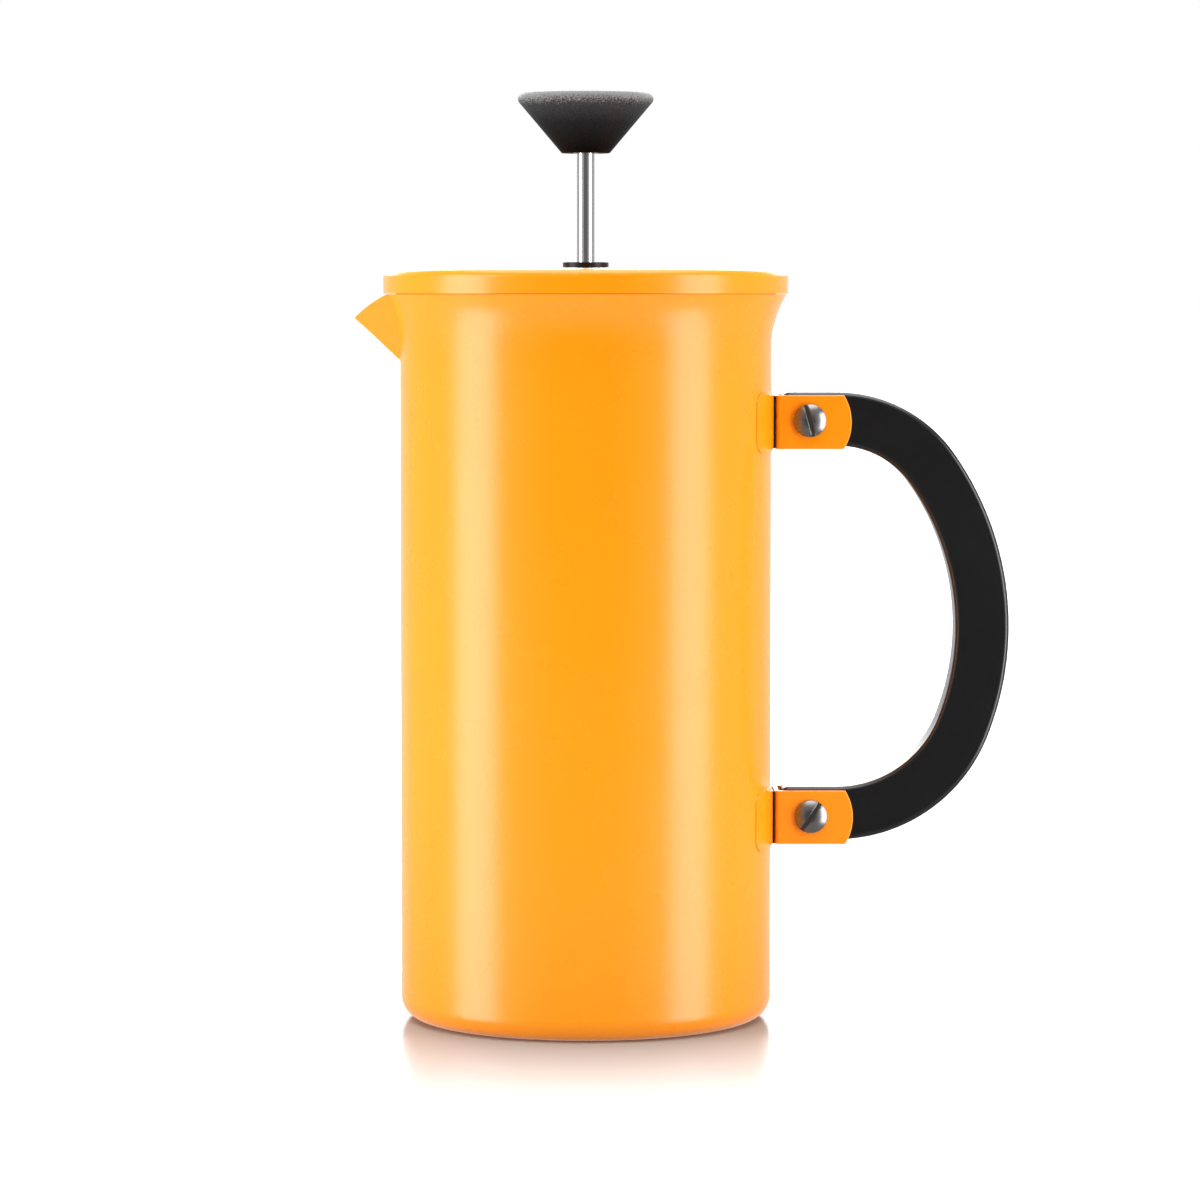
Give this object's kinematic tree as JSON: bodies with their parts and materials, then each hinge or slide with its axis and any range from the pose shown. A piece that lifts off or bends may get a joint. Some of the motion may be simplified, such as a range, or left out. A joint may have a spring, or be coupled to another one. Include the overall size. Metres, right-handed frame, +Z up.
{
  "type": "french press",
  "caption": "Insulated steel french press: painted double-wall pot with a folded spout, a bracketed D-shaped grip, and a lid with a plunger rod, knob and mesh filter.",
  "frame": {"origin": "centre of the pot's foot, on the surface it stands on", "axes": "+Z up along the pot's axis, +X towards the handle, -X towards the spout"},
  "size_m": [0.1815, 0.1122, 0.2569],
  "materials": {
    "painted_shell": "satin",
    "liner_steel": "satin",
    "grip_plastic": "matte",
    "bush_plastic": "gloss",
    "insert_plastic": "satin",
    "seal_rubber": "matte",
    "bright_steel": "polished",
    "filter_steel": "satin",
    "bush_brass": "satin"
  },
  "bodies": {
    "pot": {"outer_shell": "painted_shell", "inner_liner": "liner_steel", "base_plate": "liner_steel", "spout": "painted_shell", "handle": "grip_plastic", "upper_saddle": "painted_shell", "lower_saddle": "painted_shell", "upper_gasket": "seal_rubber", "lower_gasket": "seal_rubber", "upper_bracket": "painted_shell", "lower_bracket": "painted_shell", "upper_weld_stud": "bright_steel", "lower_weld_stud": "bright_steel", "upper_handle_screw": "bright_steel", "lower_handle_screw": "bright_steel", "upper_handle_nut": "bright_steel", "lower_handle_nut": "bright_steel"},
    "seal": {"lid_seal": "seal_rubber"},
    "lid": {"lid_cap": "painted_shell", "lid_insert": "insert_plastic", "rod_bush": "bush_plastic", "bush_nut": "insert_plastic"},
    "filter": {"cross_plate": "filter_steel", "mesh_screen": "filter_steel", "spiral_plate": "filter_steel", "edge_spring": "filter_steel", "hub_nut": "filter_steel"},
    "rod": {"plunger_rod": "bright_steel", "knob": "grip_plastic", "knob_bush": "bush_brass"}
  },
  "joints": [
    {"name": "lid_lift", "type": "slide", "parent": "pot", "child": "seal", "axis": [0, 0, 1], "range_m": [0, 0.2]},
    {"name": "lid_turn", "type": "hinge", "parent": "seal", "child": "lid", "pos_m": [0, 0, 0.2], "axis": [0, 0, 1], "continuous": true},
    {"name": "plunger_slide", "type": "slide", "parent": "lid", "child": "filter", "axis": [0, 0, 1], "range_m": [-0.03, 0.137]},
    {"name": "rod_turn", "type": "hinge", "parent": "filter", "child": "rod", "pos_m": [0, 0, 0.054], "axis": [0, 0, 1], "continuous": true}
  ]
}
